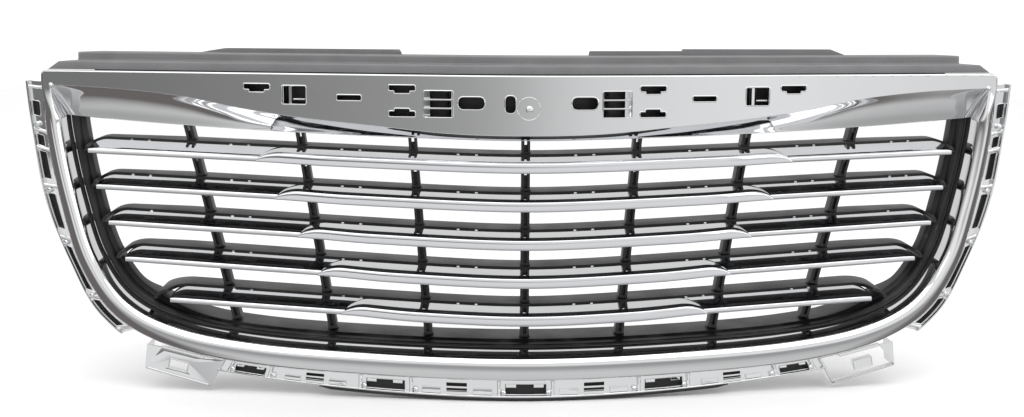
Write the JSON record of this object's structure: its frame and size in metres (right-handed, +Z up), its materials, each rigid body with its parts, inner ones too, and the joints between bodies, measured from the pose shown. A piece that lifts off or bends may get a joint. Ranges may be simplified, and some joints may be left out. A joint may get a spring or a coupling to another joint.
{
  "type": "front grille",
  "caption": "Swept vehicle front grille: plated surround with a slotted badge panel, plated bars on black vanes with ribs, clip flanges, corner brackets and a grey close-out panel.",
  "frame": {"origin": "centre of the middle locating hole, at the top face of the close-out panel's rear flange", "axes": "+X to the viewer's right along the grille's width, +Y backwards into the vehicle, +Z up; the face looks towards -Y"},
  "size_m": [1.036, 0.1356, 0.3598],
  "materials": {
    "bright_chrome": "bright plated plastic",
    "bar_chrome": "bright plated plastic",
    "black_grained": "fine grained moulded plastic",
    "grey_satin": "satin moulded plastic",
    "screw_steel": "zinc plated",
    "seal_foam": "closed-cell foam"
  },
  "bodies": {
    "root": {"emblem_panel": "bright_chrome", "emblem_cove": "bright_chrome", "surround_rim": "bright_chrome", "clip_flange_left": "bright_chrome", "clip_flange_right": "bright_chrome", "clip_flange_lower": "bright_chrome", "fascia_ear_left": "bright_chrome", "fascia_ear_right": "bright_chrome", "chrome_bar_1": "bar_chrome", "chrome_bar_2": "bar_chrome", "chrome_bar_3": "bar_chrome", "chrome_bar_4": "bar_chrome", "chrome_bar_5": "bar_chrome", "insert_frame": "black_grained", "insert_header": "black_grained", "louvre_1": "black_grained", "louvre_2": "black_grained", "louvre_3": "black_grained", "louvre_4": "black_grained", "louvre_5": "black_grained", "divider_rib_1": "black_grained", "divider_rib_2": "black_grained", "divider_rib_3": "black_grained", "divider_rib_4": "black_grained", "divider_rib_5": "black_grained", "divider_rib_6": "black_grained", "divider_rib_7": "black_grained", "closeout_panel": "grey_satin", "insert_screws": "screw_steel", "closeout_screws": "screw_steel", "lower_seal": "seal_foam"}
  },
  "joints": []
}
